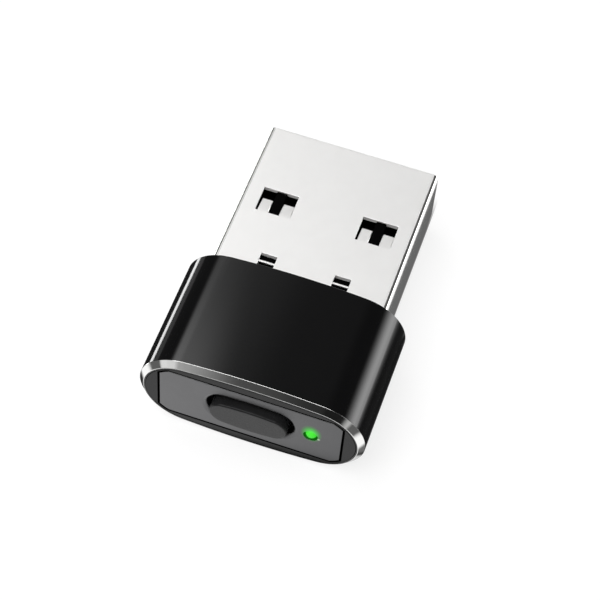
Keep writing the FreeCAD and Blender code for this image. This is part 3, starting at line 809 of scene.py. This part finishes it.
# Floor, light and camera
def mirrored_floor(field, x, y):
    """Brightness of the floor as the object's metal mirrors it, from the place on it in metres.

    Ahead of the front face it is bright close by and dim further out, and behind that line it is dark close
    by, as a painted shadow of the object, and brighter further out. Lanes and patches beside the plug and the
    sleeve are brighter, as painted light that only the metal's reflections show.
    """
    focus_y = -0.008
    reach = field.node("SQRT", field.total(field.times(x, x),
                                           field.node("POWER", field.total(y, -focus_y), 2.0)))
    ahead = field.step(reach, 0.016, 0.027, 1.1, 0.12)
    beside = field.times(field.step(x, 0.0092, 0.0083), field.step(x, 0.0, 0.004), 0.03)
    right = field.times(field.step(x, 0.0095, 0.013), field.step(reach, 0.022, 0.036, 0.045, 0.17))
    far_right = field.times(field.step(reach, 0.03, 0.13, 0.0, 3.2), field.step(x, 0.01, 0.03))
    plug_side = field.times(field.step(x, 0.0095, 0.0085), field.step(x, 0.0055, 0.006),
                            field.step(y, 0.0, 0.001), 0.08)
    lane = field.times(field.step(x, 0.00667, 0.00675), field.step(x, 0.012, 0.009),
                       field.step(y, 0.0016, 0.0026), 1.1)
    slanted = field.total(y, field.times(x, -0.68))
    far_lane = field.times(field.step(x, 0.009, 0.012), field.step(x, 0.06, 0.045),
                           field.step(slanted, -0.0046, -0.0038), 0.75)
    patch = field.times(field.step(x, 0.0062, 0.007), field.step(x, 0.0084, 0.0078),
                        field.step(y, -0.009, -0.0096), 0.6)
    edge = field.times(field.step(x, 0.0084, 0.0093), field.step(x, 0.0115, 0.0105),
                       field.step(y, -0.0098, -0.0103), 0.13)
    behind = field.total(field.step(reach, 0.024, 0.05, 0.03, 0.4), beside, right, far_right, plug_side,
                         lane, far_lane, patch, edge)
    front = field.step(field.total(y, field.times(x, 0.055)), -0.0104, -0.0113)
    return field.total(field.times(ahead, front), field.times(behind, field.node("SUBTRACT", 1.0, front)))


def shown_floor(n, field, x, y):
    """The white floor as the camera sees it. It mostly glows, so the object's shadow on it stays faint."""
    # Painted shadow: under the plug the floor's glow and colour are lowered.
    painted_shadow_under_plug = field.times(field.step(x, 0.00602, 0.00594), field.step(x, -0.007, -0.005),
                             field.step(y, -0.0015, -0.001), field.step(y, 0.0138, 0.0108))
    shaded = n.add("ShaderNodeBsdfDiffuse", Color=field.node("MULTIPLY_ADD", painted_shadow_under_plug, -0.15, 0.25))
    glow = n.add("ShaderNodeEmission", Color=(1, 1, 1, 1),
                 Strength=field.node("MULTIPLY_ADD", painted_shadow_under_plug, -0.7, 0.8))
    both = n.tree.nodes.new("ShaderNodeAddShader")
    n.link(shaded.outputs[0], both.inputs[0])
    n.link(glow.outputs[0], both.inputs[1])
    return both


def mixed(n, share, first, second):
    """A shader that goes from the first to the second with the share."""
    node = n.tree.nodes.new("ShaderNodeMixShader")
    for socket, output in zip(node.inputs, (share, first.outputs[0], second.outputs[0])):
        n.link(output, socket)
    return node


def floor_material():
    """Pale floor with its own look for the camera, for the object's metal and for stray light."""
    n = Nodes("floor")
    field = Field(n.tree)
    n.set(Base_Color=(0.8, 0.8, 0.8, 1), Roughness=0.9, Specular_IOR_Level=0.0)
    light_path = n.tree.nodes.new("ShaderNodeLightPath").outputs
    x, y, z = field.axes(n.coords)
    table = n.add("ShaderNodeEmission", Strength=mirrored_floor(field, x, y))
    seen = mixed(n, light_path["Is Camera Ray"], n.shader, shown_floor(n, field, x, y))
    mirrored = field.node("MAXIMUM", light_path["Is Glossy Ray"], light_path["Is Transmission Ray"])
    last = mixed(n, mirrored, seen, table)
    n.link(last.outputs[0], n.tree.nodes["Material Output"].inputs["Surface"])
    return n.material


def floor(half=0.6):
    mesh = bpy.data.meshes.new("floor")
    corners = [(-half, -half, 0), (half, -half, 0), (half, half, 0), (-half, half, 0)]
    mesh.from_pydata(corners, [], [(0, 1, 2, 3)])
    mesh.materials.append(floor_material())
    obj = bpy.data.objects.new("floor", mesh)
    bpy.context.scene.collection.objects.link(obj)


def overhead_box(field, x, y, z):
    """Large soft box above, which gets brighter in steps towards the left and the front."""
    slanted = field.total(x, field.times(y, 0.6))
    edges = field.times(field.total(field.step(slanted, 0.102, -0.036, 0.0, 0.72),
                                    field.step(slanted, -0.076, -0.196, 0.0, 0.28)),
                        field.step(x, -0.72, -0.6), field.step(y, -0.75, -0.5), field.step(z, 0.38, 0.58))
    level = field.total(field.step(y, 0.75, 0.62, 0.0, 0.58), field.step(y, 0.56, 0.49, 0.0, 1.8),
                        field.step(y, 0.49, 0.4, 0.0, 0.6))
    return field.times(edges, level)


def left_card(field, x, y, z):
    """Card to the front left that lights the rounded end of the sleeve."""
    levels = field.total(field.step(x, -0.17, -0.34, 0.0, 0.31), field.step(x, -0.41, -0.56, 0.0, 0.35),
                         field.step(x, 0.0, -0.17, 0.0, 0.035))
    return field.times(levels, field.step(y, -0.35, -0.6), field.step(z, 0.0, 0.08), field.step(z, 0.75, 0.5))


def studio_level(field, x, y, z):
    """Light from each direction, given by x, y and z from -1 to 1: a dim base with soft boxes and cards."""
    glow_level = field.total(field.step(x, 0.4, -0.1, 0.0, 0.08), field.step(x, -0.08, -0.25, 0.0, 0.2))
    top_glow = field.times(glow_level, field.step(y, -0.2, 0.3), field.step(z, 0.4, 0.7))
    front_dark = field.times(field.step(y, -0.45, -0.7), field.step(z, 0.15, 0.3))
    base = field.step(front_dark, 0.0, 1.0, 0.08, 0.012)
    right_strip = field.times(field.step(x, 0.45, 0.65), field.step(y, 0.05, 0.35), field.step(y, 0.9, 0.7),
                              field.step(z, -0.25, 0.12), field.step(z, 0.52, 0.12), 4.8)
    back_box = field.times(field.step(y, 0.72, 0.85), field.step(z, 0.1, 0.25), 0.9)
    right_card = field.times(field.step(x, 0.57, 0.7), field.step(z, -0.03, 0.1),
                             field.step(y, 0.1, -0.2), 0.42)
    front_glow = field.times(field.step(x, 0.15, -0.1), field.step(y, -0.5, -0.7), 0.022)
    return field.total(base, overhead_box(field, x, y, z), top_glow, left_card(field, x, y, z),
                       right_strip, back_box, right_card, front_glow)


def world():
    """Studio that lights the object and is plain white to the camera."""
    sky = bpy.data.worlds.new("studio")
    bpy.context.scene.world = sky
    sky.use_nodes = True
    tree = sky.node_tree
    field = Field(tree)
    x, y, z = field.axes(tree.nodes.new("ShaderNodeTexCoord").outputs["Generated"])
    level = studio_level(field, x, y, z)
    light_path = tree.nodes.new("ShaderNodeLightPath").outputs
    lit = field.times(level, field.node("SUBTRACT", 1.0, light_path["Is Camera Ray"]))
    background = tree.nodes["Background"]
    tree.links.new(field.total(lit, light_path["Is Camera Ray"]), background.inputs["Strength"])
    background.inputs["Color"].default_value = (1, 1, 1, 1)


def area(name, place, target, size, power):
    """Rectangular lamp at a place, turned to a target, both in metres."""
    light = bpy.data.lights.new(name, "AREA")
    light.shape = "RECTANGLE"
    light.size, light.size_y = size
    light.energy = power
    obj = bpy.data.objects.new(name, light)
    obj.location = place
    obj.rotation_euler = (Vector(target) - Vector(place)).to_track_quat("-Z", "Y").to_euler()
    obj.visible_camera = False
    bpy.context.scene.collection.objects.link(obj)


FRAME, SENSOR = 600, 36
VIEW_ANGLES = (14.136683, 54.832235, 5.592377)
PIXELS_PER_MM, NEARNESS, SHIFT_RIGHT, SHIFT_UP = 14.315682, 0.0076463, -3.6702904, -9.0039289


def camera():
    """The photo's view: azimuth, elevation and roll, aimed from the middle of the plug's tip.

    NEARNESS is one over the distance in millimetres. The shifts are in millimetres too.
    """
    azimuth, elevation, roll = (math.radians(v) for v in VIEW_ANGLES)
    back = Vector((math.sin(azimuth) * math.cos(elevation), -math.cos(azimuth) * math.cos(elevation),
                   math.sin(elevation)))
    level = Vector((math.cos(azimuth), math.sin(azimuth), 0))
    upright = back.cross(level)
    right = level * math.cos(roll) + upright * math.sin(roll)
    up = upright * math.cos(roll) - level * math.sin(roll)
    place = right * SHIFT_RIGHT + up * SHIFT_UP + back / NEARNESS + Vector((0, Y_TIP, Z_AXIS))
    data = bpy.data.cameras.new("camera")
    data.sensor_width = SENSOR
    data.lens = PIXELS_PER_MM / NEARNESS / FRAME * SENSOR
    data.clip_start = 0.002
    obj = bpy.data.objects.new("camera", data)
    obj.matrix_world = Matrix([(right[i], up[i], back[i], place[i] * MM) for i in range(3)] + [(0, 0, 0, 1)])
    bpy.context.scene.collection.objects.link(obj)
    bpy.context.scene.camera = obj


floor()
world()
area("left_strip", place=(-0.0172, 0.006, 0.0012), target=(0.0, 0.006, 0.004),
     size=(0.034, 0.0024), power=0.00141)
camera()
bpy.context.scene.view_settings.view_transform = "Standard"
